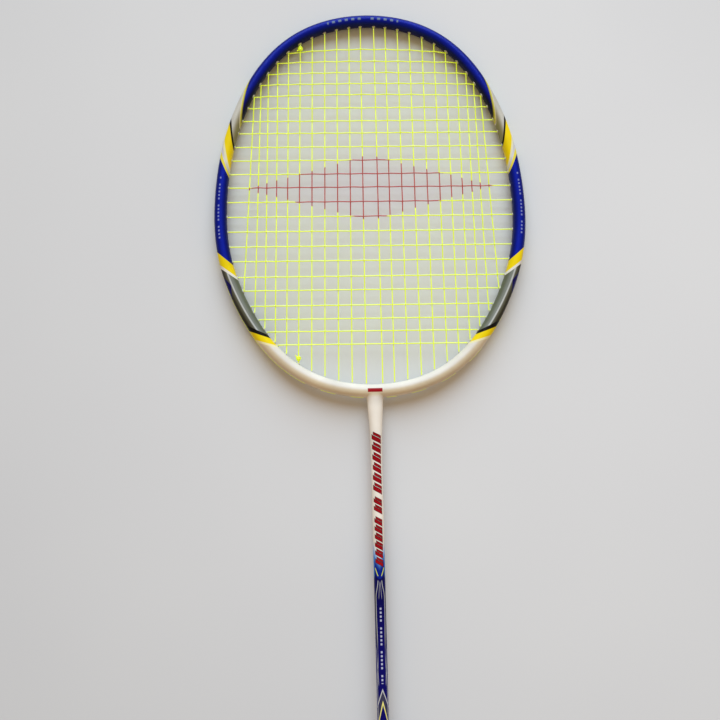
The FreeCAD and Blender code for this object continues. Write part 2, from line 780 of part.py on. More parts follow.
# main 11 ends at the top; over to main 12
outside("M11T", "M12T")
for i in range(12, 23):
    down = i % 2 == 0
    run_main(i, down)
    if i < 22:
        e = "B" if down else "T"
        outside("M%d%s" % (i, e), "M%d%s" % (i + 1, e))
# foot of main 22, then along the lane to the hole of cross 23
n0, n1 = "M22B", "C23R"
put(exit_pt(n0), 0.7)
p0, p1 = holes[n0][0], holes[n1][0]
s = 1 if p1 > p0 else -1
put(at_depth(p0 + s * math.radians(1.9), STRING_DEPTH, LANE_Z), 2.0)
mid = (p0 + p1) / 2
put(at_depth(mid, STRING_DEPTH, LANE_Z), 0)
mains_runs, mains_len = make_runs()
save("string_mains", Part.makeCompound(mains_runs))

path, radii, cuts = [], [], []
put(at_depth(mid, STRING_DEPTH, LANE_Z), 0)
put(at_depth(p1 - s * math.radians(1.9), STRING_DEPTH, LANE_Z), 2.0)
put(exit_pt(n1), 0.7)
for j in range(23, 0, -1):
    to_right = j % 2 == 0
    run_cross(j, to_right)
    e = "R" if to_right else "L"
    if j > 1:
        outside("C%d%s" % (j, e), "C%d%s" % (j - 1, e))
outside("C1L", "M6T", z1=-SHARE_Z)
put(mouth("M6T", -SHARE_Z), 1.0)
kt = knot_dir("T")
put(mouth("M6T", -SHARE_Z) + kt * KNOT_GAP, 0)
cross_runs, cross_len = make_runs()
save("string_crosses", Part.makeCompound(cross_runs))
print("string in all %.2f m" % ((mains_len + cross_len) / 1000))

# knots: five turns round main 6 with three more wound over them, the stub
# that leads in and a short cut-off tail
for nm, end, d in (("knot_lower", "B", kd), ("knot_upper", "T", kt)):
    face = mouth("M6%s" % end, -SHARE_Z) + d * KNOT_GAP
    cen = V(mouth("M6%s" % end).x, mouth("M6%s" % end).y, SHARE_Z) + d * (KNOT_GAP + 0.72)
    turns = [Part.makeTorus(0.76, STRING_R, cen + d * (0.62 * k), d) for k in range(5)]
    turns += [Part.makeTorus(1.34, STRING_R, cen + d * (0.62 * k + 0.31), d) for k in range(1, 4)]
    stub = Part.makeCylinder(STRING_R, 0.62, face, d)
    tail = Part.makeCylinder(STRING_R, 2.2, cen + d * 1.86 + V(-0.8, 0, 0.25), d * 0.8 + V(-0.6, 0, 0.45))
    knot = turns[0].fuse(turns[1:] + [stub, tail])
    knot = knot.cut(Part.makeCylinder(STRING_R + 0.04, 8.0, cen - d * 2.5, d))
    save(nm, sorted(knot.Solids, key=lambda q: -q.Volume)[0])
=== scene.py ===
import math

import bpy
import numpy as np
from mathutils import Matrix, Vector


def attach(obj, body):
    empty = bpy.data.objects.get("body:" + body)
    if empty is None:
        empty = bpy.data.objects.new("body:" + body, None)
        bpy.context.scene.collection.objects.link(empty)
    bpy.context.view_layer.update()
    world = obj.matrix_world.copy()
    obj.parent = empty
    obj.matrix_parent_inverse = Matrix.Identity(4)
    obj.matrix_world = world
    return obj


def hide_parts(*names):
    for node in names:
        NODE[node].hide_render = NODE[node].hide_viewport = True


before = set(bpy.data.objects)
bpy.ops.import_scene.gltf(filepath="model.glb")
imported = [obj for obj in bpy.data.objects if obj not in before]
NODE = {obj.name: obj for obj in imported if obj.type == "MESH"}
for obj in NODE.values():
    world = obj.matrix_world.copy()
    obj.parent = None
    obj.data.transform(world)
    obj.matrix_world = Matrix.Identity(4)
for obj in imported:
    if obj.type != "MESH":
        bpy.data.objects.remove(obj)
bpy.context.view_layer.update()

HEAD_CY = 547.3                   # centre of the hoop's polar outline, mm
OUTLINE = [114.493, -1.540, 13.442, 0.640, 0.257, -0.254, -0.528, 0.110, -0.344]


# --------------------------------------------------------------- node helpers
def lin(r, g, b):
    """a 0 to 255 display colour as linear RGBA"""
    def one(v):
        v /= 255.0
        return v / 12.92 if v <= 0.04045 else ((v + 0.055) / 1.055) ** 2.4
    return (one(r), one(g), one(b), 1.0)


class E:
    """an expression: a node socket with arithmetic"""
    def __init__(self, m, sock):
        self.m, self.s = m, sock

    def __add__(self, o):
        return self.m.f("ADD", self, o)

    def __radd__(self, o):
        return self.m.f("ADD", o, self)

    def __sub__(self, o):
        return self.m.f("SUBTRACT", self, o)

    def __rsub__(self, o):
        return self.m.f("SUBTRACT", o, self)

    def __mul__(self, o):
        return self.m.f("MULTIPLY", self, o)

    def __rmul__(self, o):
        return self.m.f("MULTIPLY", o, self)

    def __truediv__(self, o):
        return self.m.f("DIVIDE", self, o)

    def abs(self):
        return self.m.f("ABSOLUTE", self)

    def fract(self):
        return self.m.f("FRACT", self)


class Mat:
    """a Principled material; x, y, z are the frame's millimetres"""
    def __init__(self, name, **sockets):
        self.mat = bpy.data.materials.new(name)
        self.mat.use_nodes = True
        self.nt = self.mat.node_tree
        self.nt.nodes.clear()
        out = self.new("ShaderNodeOutputMaterial")
        self.bsdf = self.new("ShaderNodeBsdfPrincipled")
        self.nt.links.new(self.bsdf.outputs[0], out.inputs[0])
        tc = self.new("ShaderNodeTexCoord")
        sc = self.new("ShaderNodeVectorMath")
        sc.operation = "SCALE"
        sc.inputs["Scale"].default_value = 1000.0
        self.nt.links.new(tc.outputs["Object"], sc.inputs[0])
        self.p = E(self, sc.outputs[0])
        sep = self.new("ShaderNodeSeparateXYZ")
        self.nt.links.new(sc.outputs[0], sep.inputs[0])
        self.x, self.y, self.z = (E(self, sep.outputs[i]) for i in range(3))
        for k, v in sockets.items():
            self.bsdf.inputs[k.replace("_", " ")].default_value = v

    def new(self, kind):
        return self.nt.nodes.new(kind)

    def put(self, sock, v):
        if isinstance(v, E):
            self.nt.links.new(v.s, sock)
        else:
            sock.default_value = v

    def f(self, op, a, b=None, c=None, clamp=False):
        n = self.new("ShaderNodeMath")
        n.operation = op
        n.use_clamp = clamp
        for i, v in enumerate((a, b, c)):
            if v is not None:
                self.put(n.inputs[i], v)
        return E(self, n.outputs[0])

    def step(self, v, edge, soft):
        """0 below the edge, 1 above it, over a width of soft"""
        n = self.new("ShaderNodeMath")
        n.operation = "MULTIPLY_ADD"
        n.use_clamp = True
        self.put(n.inputs[0], v - edge)
        n.inputs[1].default_value = 1.0 / soft
        n.inputs[2].default_value = 0.5
        return E(self, n.outputs[0])

    def band(self, v, lo, hi, soft):
        return self.step(v, lo, soft) * (1.0 - self.step(v, hi, soft))

    def ramp(self, v, a, b, c=0.0, d=1.0, smooth=False):
        n = self.new("ShaderNodeMapRange")
        n.interpolation_type = "SMOOTHSTEP" if smooth else "LINEAR"
        self.put(n.inputs[0], v)
        for i, w in enumerate((a, b, c, d)):
            self.put(n.inputs[i + 1], w)
        return E(self, n.outputs[0])

    def mix(self, fac, a, b, mode="MIX"):
        n = self.new("ShaderNodeMix")
        n.data_type = "RGBA"
        n.blend_type = mode
        self.put(n.inputs[0], fac)
        self.put(n.inputs[6], a)
        self.put(n.inputs[7], b)
        return E(self, n.outputs[2])

    def noise(self, scale, detail=2.0, rough=0.5, vec=None, distortion=0.0):
        """noise of that many features per millimetre, 0 to 1"""
        n = self.new("ShaderNodeTexNoise")
        self.put(n.inputs["Vector"], vec or self.p)
        n.inputs["Scale"].default_value = scale
        n.inputs["Detail"].default_value = detail
        n.inputs["Roughness"].default_value = rough
        n.inputs["Distortion"].default_value = distortion
        return E(self, n.outputs[0])

    def cells(self, scale, vec=None):
        """one random number for each small cell"""
        n = self.new("ShaderNodeTexVoronoi")
        self.put(n.inputs["Vector"], vec or self.p)
        n.inputs["Scale"].default_value = scale
        s = self.new("ShaderNodeSeparateColor")
        self.nt.links.new(n.outputs["Color"], s.inputs[0])
        return E(self, s.outputs[0])

    def vec(self, x, y, z):
        n = self.new("ShaderNodeCombineXYZ")
        for i, v in enumerate((x, y, z)):
            self.put(n.inputs[i], v)
        return E(self, n.outputs[0])

    def grey(self, v):
        n = self.new("ShaderNodeCombineColor")
        for i in range(3):
            self.put(n.inputs[i], v)
        return E(self, n.outputs[0])

    def bump(self, height, distance, strength=1.0):
        """height in millimetres over a distance in millimetres"""
        n = self.new("ShaderNodeBump")
        n.inputs["Strength"].default_value = strength
        n.inputs["Distance"].default_value = distance / 1000.0
        self.put(n.inputs["Height"], height)
        self.nt.links.new(n.outputs[0], self.bsdf.inputs["Normal"])

    def done(self, color=None, rough=None, metal=None):
        for k, v in (("Base Color", color), ("Roughness", rough), ("Metallic", metal)):
            if v is not None:
                self.put(self.bsdf.inputs[k], v)
        return self.mat


def dress(node, mat):
    me = NODE[node].data
    me.materials.clear()
    me.materials.append(mat)


# -------------------------------------------------------------- camera, stage
cam_data = bpy.data.cameras.new("camera")
cam_data.lens = 45.0
cam_data.sensor_width = 36.0
cam_data.clip_start, cam_data.clip_end = 0.01, 50.0
cam = bpy.data.objects.new("camera", cam_data)
bpy.context.scene.collection.objects.link(cam)
right = Vector((0.9993992, -0.0238383, 0.0251594))
up = Vector((0.0215460, 0.9959095, 0.0877503))
back = Vector((-0.0271483, -0.0871555, 0.9958247))
m = Matrix((right, up, back)).transposed().to_4x4()
m.translation = Vector((-0.024844, 0.393014, 0.578351))
cam.matrix_world = m
bpy.context.scene.camera = cam
bpy.context.scene.view_settings.view_transform = "Standard"

# the racket lies on the table by the edge of its butt and the tip of its head
SLOPE, Z0 = 0.01362, -0.01422


def floor_z(y):
    return Z0 + SLOPE * (y - 0.005)


me = bpy.data.meshes.new("floor")
S = 12.0
me.from_pydata([(-S, -S, floor_z(-S)), (S, -S, floor_z(-S)), (S, S, floor_z(S)), (-S, S, floor_z(S))], [], [(0, 1, 2, 3)])
floor = bpy.data.objects.new("floor", me)
bpy.context.scene.collection.objects.link(floor)
fm = Mat("floor_paint")
base = fm.mix(fm.ramp(fm.noise(0.004, 2.0), 0.3, 0.7), lin(211, 212, 213), lin(215, 216, 216))
# painted light: the floor is painted darker towards the lower left and darker towards its edges, a painted falloff
# of light and a painted vignette
painted_light_falloff = fm.ramp(fm.x * 0.55 + (fm.y - 430.0) * 0.45, -260.0, 190.0, 0.80, 1.0)
fx, fy = fm.x / 230.0, (fm.y - 430.0) / 235.0
painted_light_falloff = painted_light_falloff * fm.f("MAXIMUM", 0.985 - fx * fx * 0.035 - fy * fy * 0.045, 0.85)
base = fm.mix(1.0, base, fm.grey(painted_light_falloff), "MULTIPLY")
fm.bump(fm.noise(0.9, 3.0, 0.6), 0.05, 0.2)
me.materials.append(fm.done(base, 0.62))

world = bpy.data.worlds.new("world")
world.use_nodes = True
bg = world.node_tree.nodes["Background"]
bg.inputs[0].default_value = (1.0, 0.70, 0.44, 1.0)
bg.inputs[1].default_value = 0.57
bpy.context.scene.world = world


def sun(name, towards, angle, strength, color):
    d = bpy.data.lights.new(name, "SUN")
    d.angle = math.radians(angle)
    d.energy = strength
    d.color = color
    o = bpy.data.objects.new(name, d)
    bpy.context.scene.collection.objects.link(o)
    o.rotation_mode = "QUATERNION"
    o.rotation_quaternion = Vector(towards).to_track_quat("Z", "Y")
    return o


sun("key_light", (0.02, 0.78, 0.61), 58.0, 4.38, (0.63, 0.81, 0.98))


# ------------------------------------------------------------------ materials
BLUE = lin(2, 17, 108)
# painted light: a lighter blue for the rim's inner half, standing in for fill light
BLUE_INNER_PAINTED_FILL = lin(3, 24, 148)
YELLOW = lin(226, 200, 10)
WHITE = lin(210, 204, 193)
BLACK = lin(14, 13, 12)
RED = lin(142, 8, 20)


def lettering(m, u, y, soft):
    """a plain row of slanted bars along the shaft: mask of the bars, mask with their outline"""
    q = y + u * 0.55
    out = None
    for lo, hi, pitch, half in ((358.6, 397.0, 6.4, 2.85), (346.2, 356.0, 4.9, 2.6), (313.4, 343.6, 5.03, 2.45)):
        cell = ((q - lo) / pitch).fract()
        inside = m.band(q, lo, hi, 0.1)
        wide = (cell - 0.30).abs() - 0.19
        thin = (cell - 0.74).abs() - 0.11
        d1 = m.f("MAXIMUM", wide * pitch, u.abs() - half)
        d2 = m.f("MAXIMUM", thin * pitch, (u - half * 0.2).abs() - half * 0.8)
        d = m.f("MINIMUM", d1, d2)
        bar = (1.0 - m.step(d, 0.0, soft)) * inside
        rim = (1.0 - m.step(d, 0.34, soft)) * inside
        out = (bar, rim) if out is None else (m.f("MAXIMUM", out[0], bar), m.f("MAXIMUM", out[1], rim))
    return out


def shaft_colours(m, col, metal, u, y):
    """trim of the shaft and the neck over the white ground"""
    au = u.abs()
    # pale blue creeps up the flanks, then the dark ground begins
    fade = m.ramp(y - au * 1.9, 321.5, 311.0, smooth=True)
    fade2 = m.ramp(y - au * 1.2, 317.5, 309.0, smooth=True)
    col = m.mix(fade, col, lin(88, 150, 214))
    col = m.mix(fade2, col, lin(8, 34, 138))
    metal = m.f("MAXIMUM", metal, fade2 * 0.45)
    ground = m.step(305.0 + m.f("POWER", au * 0.52, 2.4), y, 0.5)
    navy = m.mix(m.ramp(y, 300.0, 262.0), lin(7, 8, 84), lin(9, 10, 104))
    col = m.mix(ground, col, navy)
    glint = m.ramp(au, 3.3, 4.6) * m.band(y, 306.0, 318.0, 2.0)
    col = m.mix(glint, col, lin(60, 130, 200))
    bar, rim = lettering(m, u, y, 0.12)
    col = m.mix(rim, col, lin(66, 22, 22))
    col = m.mix(bar, col, RED)
    # yellow-green ticks beside the rounded tongue
    tick = m.band(y - au * 2.6, 303.1, 304.6, 0.3) * m.band(y, 306.8, 311.8, 0.4)
    col = m.mix(tick, col, lin(196, 204, 60))
    # silver lines: from the tongue out to the flanks and down along them
    flare = m.ramp(y, 304.0, 293.0, 1.25, 2.95, smooth=True) - m.ramp(y, 285.0, 262.0, 0.0, 0.45, smooth=True) \
        + m.ramp(y, 258.0, 238.0, 0.0, 1.1, smooth=True)
    line = m.band(au - flare, -0.20, 0.20, 0.14) * m.band(y, 214.0, 304.0, 0.8)
    line = line * (1.0 - m.band(y, 255.0, 266.0, 9.0) * 0.75)
    flare2 = m.ramp(y, 303.0, 292.0, 0.35, 0.9, smooth=True)
    line2 = m.band(au - flare2, -0.12, 0.12, 0.1) * m.band(y, 293.0, 303.0, 1.6)
    flare3 = m.ramp(y, 262.0, 240.0, 3.8, 2.5, smooth=True)
    line3 = m.band(au - flare3, -0.18, 0.18, 0.14) * m.band(y, 240.0, 262.0, 2.0)
    v1 = m.band(y + au * 2.65, 236.2, 237.9, 0.4) * m.band(y, 226.0, 240.0, 0.5)
    silver = m.f("MAXIMUM", m.f("MAXIMUM", line, line2 * 0.8), m.f("MAXIMUM", v1, line3 * 0.8))
    olive = m.band(au - flare, 0.35, 1.1, 0.3) * m.band(y, 262.0, 296.0, 4.0)
    col = m.mix(olive * 0.8, col, lin(84, 84, 62))
    between = m.band(y + au * 3.4, 230.8, 236.4, 0.5) * m.band(y, 222.0, 238.0, 0.8)
    col = m.mix(between * 0.7, col, lin(74, 76, 84))
    col = m.mix(silver, col, lin(186, 188, 186))
    v2 = m.band(y + au * 3.9, 228.2, 230.7, 0.4) * m.band(y, 212.0, 232.0, 0.5)
    col = m.mix(v2, col, lin(222, 214, 120))
    # a plain row of small pale dashes
    dash = m.band((y / 2.42).fract(), 0.20, 0.72, 0.12) * m.band(u, -0.56, 0.56, 0.15)
    dash = dash * m.band(y, 240.8, 288.4, 0.2) * (1.0 - m.band((y / 14.5).fract(), 0.0, 0.17, 0.05))
    col = m.mix(dash * 0.75, col, lin(190, 194, 212))
    plain = m.f("MAXIMUM", m.f("MAXIMUM", tick, v2), m.f("MAXIMUM", dash, silver * 0.6))
    metal = metal * (1.0 - plain) * (1.0 - bar)
    return col, metal


def lacquer(m, col, metal, flakes):
    """clear-coated paint: flakes in the metallic bands, faint haze, a fine bump"""
    spark = m.cells(3.4)
    tone = m.ramp(m.noise(0.05, 3.0), 0.3, 0.7, 0.90, 1.08)
    lit = m.ramp(spark, 0.0, 1.0, 0.70, 1.34)
    gain = m.ramp(metal * flakes, 0.0, 1.0, 1.0, lit) * tone
    col = m.mix(1.0, col, m.grey(gain), "MULTIPLY")
    rough = m.ramp(m.noise(0.25, 4.0, 0.6), 0.3, 0.75, 0.32, 0.44) + metal * 0.06
    m.bump(m.noise(0.55, 3.0, 0.55), 0.05, 0.20)
    return m.done(col, rough, metal)


# head frame: bands across the rim, each edge with its angle at the outer and at the inner side
hp = Mat("frame_lacquer", Coat_Weight=0.04, Coat_Roughness=0.12, Specular_IOR_Level=0.09)
ax = hp.x.abs()
dy = hp.y - HEAD_CY
rad = hp.f("SQRT", ax * ax + dy * dy)
cosine = hp.f("MINIMUM", hp.f("MAXIMUM", dy / rad, -1.0), 1.0)
deg = hp.f("ARCCOSINE", cosine) * (180.0 / math.pi)
poly = np.polynomial.chebyshev.cheb2poly(OUTLINE)
R = float(poly[-1])
for a in poly[-2::-1]:
    R = R * cosine + float(a)
width = 8.11 - 0.96 * cosine - 0.30 * cosine * cosine
s = hp.f("MINIMUM", hp.f("MAXIMUM", (R - rad) / width, 0.0), 1.0)


def edge(a, b, power=1.0):
    t = s if power == 1.0 else hp.f("POWER", s, power)
    return a + t * (b - a)


SOFT = 0.16
sd = deg * hp.f("SIGN", hp.x)      # signed angle
# painted light: the blue is painted lighter towards the inner half of the rim, a painted fill light
col = hp.mix(hp.ramp(s, 0.2, 0.85, smooth=True), BLUE, BLUE_INNER_PAINTED_FILL)
metal = s * 0.0 + 0.25
# painted shade: the rim is painted darker towards its inner wall
inner_wall_painted_shade = hp.ramp(s, 0.76, 1.0, smooth=True)
col = hp.mix(inner_wall_painted_shade * 0.8, col, lin(5, 8, 52))
shade_line = hp.ramp(deg, 36.0, 50.0) * hp.ramp(s, 0.45, 0.9)
col = hp.mix(shade_line * 0.8, col, lin(10, 10, 26))


def over(a, b, colour, met, power=1.0, soft=SOFT):
    """everything past this edge becomes the colour"""
    global col, metal
    k = hp.step(deg, edge(a, b, power), soft)
    col = hp.mix(k, col, colour)
    metal = metal * (1.0 - k) + k * met


over(41.2, 55.9, lin(122, 112, 28), 0.0)                 # olive line
over(42.1, 56.9, lin(190, 184, 78), 0.0)                 # yellow line
over(44.6, 58.6, lin(206, 196, 190), 0.0)                # fine dull line
silver_col = hp.mix(hp.ramp(s, 0.35, 0.95, smooth=True), lin(181, 178, 167), lin(130, 126, 92))
over(45.1, 59.1, silver_col, 0.10)
over(57.3, 66.4, BLACK, 0.0, 1.2)
over(59.2, 67.9, YELLOW, 0.0, 1.2)
over(64.9, 75.8, lin(214, 212, 176), 0.0)                # cream
over(67.2, 77.0, lin(194, 193, 196), 0.15)
over(69.8, 78.0, lin(216, 202, 66), 0.0)
# lower blue band: painted lighter over the inner half as painted fill light, then painted darker towards the inner
# wall as painted shade
low_blue = hp.mix(hp.ramp(s, 0.10, 0.50, smooth=True), BLUE, lin(3, 24, 142))
low_blue = hp.mix(hp.ramp(s, 0.62, 1.0, smooth=True) * 0.7, low_blue, lin(5, 10, 60))
over(72.2, 79.2, low_blue, 0.25)
over(107.6, 114.3, YELLOW, 0.0)
over(112.2, 118.9, lin(216, 214, 204), 0.0)
olive = hp.mix(hp.ramp(s, 0.0, 0.55), lin(34, 32, 18), lin(62, 62, 46))
over(113.6, 120.2, olive, 0.15)
# grey part: dark olive outside, a light hair line along the middle that is partly print and partly a painted
# highlight, mid grey inside
grey_zone = hp.step(deg, edge(113.6, 120.2), SOFT)
g_edge = hp.ramp(deg, 115.0, 138.5, 0.42, 0.58)
g_mid = hp.ramp(s - g_edge, -0.34, 0.0) * grey_zone
col = hp.mix(g_mid * 0.75, col, lin(116, 117, 102))
g_in = hp.step(s, g_edge, 0.05) * grey_zone
col = hp.mix(g_in, col, hp.mix(hp.ramp(s - g_edge, 0.05, 0.40), lin(122, 126, 119), lin(92, 97, 82)))
# the light hair line is partly print and partly a painted highlight along the ridge
g_print_and_highlight_line = hp.band(s - g_edge, -0.055, 0.055, 0.05) * grey_zone
col = hp.mix(g_print_and_highlight_line * 0.9, col, lin(186, 190, 187))
leaf = hp.f("MINIMUM", hp.ramp(deg, 115.6, 121.6, 0.0, 0.40, smooth=True), hp.ramp(deg, 119.6, 126.4, 0.42, 0.0, smooth=True))
wedge = hp.step(leaf, s, 0.03) * hp.band(deg, 115.8, 126.4, 0.3) * grey_zone
col = hp.mix(wedge, col, lin(16, 12, 84))
over(133.8, 141.6, BLACK, 0.0)
over(136.3, 143.1, YELLOW, 0.0)
over(139.5, 146.2, lin(222, 214, 168), 0.0)
# painted shade: the outer half of the white rim is painted a warm tan, standing in for shade and a painted warm
# reflection of the table
white_with_painted_bounce_shade = hp.mix(hp.band(s, 0.10, 0.55, 0.18) * 0.85, WHITE, lin(196, 180, 147))
over(140.6, 147.2, white_with_painted_bounce_shade, 0.0)

# plain rows of small pale dashes in place of lettering
arc = sd * (math.pi / 180.0) * 124.0
dash = hp.band((arc / 4.35 + 0.5).fract(), 0.26, 0.72, 0.10) * hp.band(s, 0.42, 0.62, 0.08)
dash = dash * hp.band(sd, -12.1, 10.1, 0.1) * (1.0 - hp.band(sd, -1.0, 1.0, 0.1))
fine = hp.band((deg / 1.35).fract(), 0.20, 0.70, 0.12) * hp.band(s, 0.34, 0.46, 0.05)
fine = fine * hp.band(deg, 79.5, 103.5, 0.2) * (1.0 - hp.band((deg / 8.1).fract(), 0.0, 0.17, 0.04))
col = hp.mix(dash * 0.75, col, lin(122, 142, 156))
col = hp.mix(fine * 0.6, col, lin(150, 160, 200))
metal = metal * (1.0 - hp.f("MAXIMUM", dash, fine))
# red bar at the top of the neck
bar = hp.band(hp.x, -4.7, 4.7, 0.3) * hp.band(hp.y, 422.6, 425.0, 0.3)
col = hp.mix(bar, col, RED)
neck_u = hp.f("ARCTAN2", hp.x, hp.z.abs()) * 3.75
neck_mask = hp.step(421.0, hp.y, 1.0)
n_base = hp.mix(hp.ramp(hp.y, 423.0, 414.0), col, lin(224, 218, 206))
n_base = hp.mix(bar, n_base, RED)
n_col, n_metal = shaft_colours(hp, n_base, metal, neck_u, hp.y)
col = hp.mix(neck_mask, col, n_col)
lacquer_mat = lacquer(hp, col, metal, 0.85)
dress("head_frame", lacquer_mat)

# shaft
sp = Mat("shaft_lacquer", Coat_Weight=0.04, Coat_Roughness=0.12, Specular_IOR_Level=0.09)
su = sp.f("ARCTAN2", sp.x, sp.z.abs()) * 3.6
c0 = sp.mix(sp.ramp(sp.y, 372.0, 300.0), lin(224, 218, 206), lin(216, 209, 196))
scol, smetal = shaft_colours(sp, c0, su * 0.0, su, sp.y)
dress("shaft", lacquer(sp, scol, smetal, 0.8))

# strings: bright nylon that glows a little with painted emission light, with a plain crimson panel painted over the
# bed
st = Mat("string_nylon", IOR=1.52, Subsurface_Weight=0.25, Subsurface_Scale=0.0006, Coat_Weight=0.3, Coat_Roughness=0.12)
st.bsdf.inputs["Subsurface Radius"].default_value = (1.0, 1.0, 0.4)
tone = st.noise(0.06, 2.0)
sc = st.mix(tone, lin(228, 244, 40), lin(214, 238, 30))
edge_n = (st.noise(0.55, 3.0, 0.7) - 0.5) * 0.10
loz = st.x.abs() / 81.5 + (st.y - 557.0).abs() / 22.0 + edge_n
ink = (1.0 - st.step(loz, 1.0, 0.03)) * st.ramp(st.noise(1.6, 3.0, 0.6), 0.25, 0.55, 0.86, 1.0)
ink = ink * st.ramp(st.z, -1.05, -0.5, 0.25, 1.0)
sc = st.mix(ink, sc, lin(160, 12, 38))
# painted light: the strings glow a little with emission in their own colour
st.put(st.bsdf.inputs["Emission Color"], sc)
st.bsdf.inputs["Emission Strength"].default_value = 0.16
st.bump(st.noise(2.5, 2.0), 0.03, 0.2)
string_mat = st.done(sc, st.ramp(st.noise(0.8, 2.0), 0.3, 0.7, 0.26, 0.40))
for n in ("string_mains", "string_crosses", "knot_upper", "knot_lower"):
    dress(n, string_mat)

# grommets: pale nylon
gm = Mat("grommet_nylon", IOR=1.53, Subsurface_Weight=0.08, Subsurface_Scale=0.0005)
g = gm.mix(gm.noise(0.4, 2.0), lin(196, 198, 176), lin(178, 180, 158))
gm.bump(gm.noise(2.0, 3.0), 0.03, 0.3)
grommet_mat = gm.done(g, gm.ramp(gm.noise(0.9), 0.3, 0.7, 0.34, 0.5))
for n in ("top", "bottom", "left", "right", "wide"):
    dress("grommets_" + n, grommet_mat)

# t joint: moulded composite with short fibres
tj = Mat("t_joint_resin")
fib = tj.noise(0.5, 3.0, 0.6, tj.vec(tj.x * 0.15, tj.y, tj.z * 2.0))
tj.bump(fib, 0.08, 0.4)
dress("t_joint", tj.done(tj.mix(tj.ramp(fib, 0.35, 0.65), lin(30, 31, 33), lin(62, 64, 68)), 0.55))

# handle core: light wood with growth rings along the handle
wd = Mat("core_wood")
rings = wd.f("SINE", (wd.x + 40.0 + wd.noise(0.02, 2.0, 0.5, wd.vec(wd.x, wd.y * 0.15, wd.z)) * 9.0) * 3.2)
grain = wd.noise(1.1, 4.0, 0.65, wd.vec(wd.x * 2.2, wd.y * 0.06, wd.z * 2.2))
w = wd.mix(wd.ramp(rings, -1.0, 1.0), lin(214, 178, 128), lin(190, 148, 98))
w = wd.mix(wd.ramp(grain, 0.45, 0.75) * 0.5, w, lin(140, 100, 62))
wd.bump(grain, 0.12, 0.4)
dress("handle_core", wd.done(w, 0.62))

# cone: moulded collar in deep metallic blue
cn = Mat("cone_plastic", Coat_Weight=0.4, Coat_Roughness=0.14)
ring = cn.f("MAXIMUM", cn.band(cn.y, 203.6, 204.5, 0.12), cn.band(cn.y, 205.6, 206.0, 0.1))
cc = cn.mix(ring, cn.mix(cn.ramp(cn.cells(3.0), 0.0, 1.0), lin(12, 18, 104), lin(22, 34, 150)), lin(196, 200, 206))
cn.bump(cn.noise(0.8, 3.0), 0.04, 0.3)
dress("cone", cn.done(cc, cn.ramp(cn.noise(0.3, 3.0), 0.3, 0.7, 0.30, 0.42), 0.35))

# butt cap: satin moulded plastic, fine grain, polished wear on the rim
cp = Mat("cap_plastic")
grain = cp.noise(2.4, 4.0, 0.7)
worn = cp.ramp(cp.noise(0.18, 3.0), 0.45, 0.7) * cp.band(cp.y, -0.5, 1.6, 0.8)
cp.bump(grain, 0.06, 0.6)
dress("butt_cap", cp.done(cp.mix(worn * 0.5, lin(26, 27, 32), lin(70, 72, 80)), cp.ramp(grain, 0.3, 0.7, 0.42, 0.58) - worn * 0.12))

# badge: plain rings under gloss
bd = Mat("badge_plastic", Coat_Weight=1.0, Coat_Roughness=0.05)
br = bd.f("SQRT", bd.x * bd.x + bd.z * bd.z)
b = bd.mix(bd.band(br, 6.6, 7.5, 0.08), lin(14, 24, 150), lin(204, 206, 208))
b = bd.mix(bd.step(br, 8.2, 0.1), b, lin(204, 206, 208))
b = bd.mix(bd.band(br, 3.0, 3.5, 0.08), b, lin(232, 196, 20))
bd.bump(bd.noise(0.5, 2.0), 0.04, 0.2)
dress("butt_badge", bd.done(b, bd.ramp(bd.noise(0.6), 0.3, 0.7, 0.24, 0.36), 0.2))

# steel staples and tack
stl = Mat("staple_steel", Anisotropic=0.4)
scr = stl.noise(3.0, 3.0, 0.6, stl.vec(stl.x * 0.2, stl.y, stl.z))
stl.bump(scr, 0.02, 0.4)
steel_mat = stl.done(stl.mix(scr, lin(172, 172, 176), lin(206, 206, 208)), stl.ramp(scr, 0.3, 0.7, 0.24, 0.42), 1.0)
dress("butt_cap_staples", steel_mat)
dress("grip_tack", steel_mat)

# finishing tape: stretched vinyl, one plain silver band
tp = Mat("tape_vinyl")
wr = tp.noise(0.5, 3.0, 0.6, tp.vec(tp.x * 0.6, tp.y * 3.0, tp.z * 0.6))
band = tp.band(tp.y, 183.6, 184.5, 0.1)
tp.bump(wr, 0.10, 0.5)
dress("finishing_tape", tp.done(tp.mix(band, tp.mix(wr, lin(14, 14, 16), lin(30, 30, 34)), lin(176, 180, 186)),
                                tp.ramp(wr, 0.3, 0.7, 0.26, 0.42)))


# ------------------------------------------------------------------ grip wrap
TH = 1.60                          # strip thickness, mm
PITCH, STRIP = 22.0, 25.0
LIFT = 0.62                        # what an overlap adds
GY0, GY1 = 3.08, 184.8
SECT = [(3.02, 31.0, 28.2), (9.0, 30.4, 27.6), (16.0, 28.8, 26.0), (24.0, 27.4, 24.6),
        (40.0, 27.2, 24.4), (168.0, 27.2, 24.4), (176.0, 26.0, 24.35), (180.0, 24.7, 24.1),
        (185.0, 23.4, 23.3)]


def smooth01(t):
    t = np.clip(t, 0.0, 1.0)
    return t * t * (3.0 - 2.0 * t)


_ys = np.linspace(3.0, 185.0, 400)
_ax = np.interp(_ys, [q[0] for q in SECT], [q[1] for q in SECT])
_az = np.interp(_ys, [q[0] for q in SECT], [q[2] for q in SECT])
_k = np.exp(-np.linspace(-2, 2, 25) ** 2)
_k /= _k.sum()
_ax = np.convolve(np.pad(_ax, 12, mode="edge"), _k, mode="valid")
_az = np.convolve(np.pad(_az, 12, mode="edge"), _k, mode="valid")


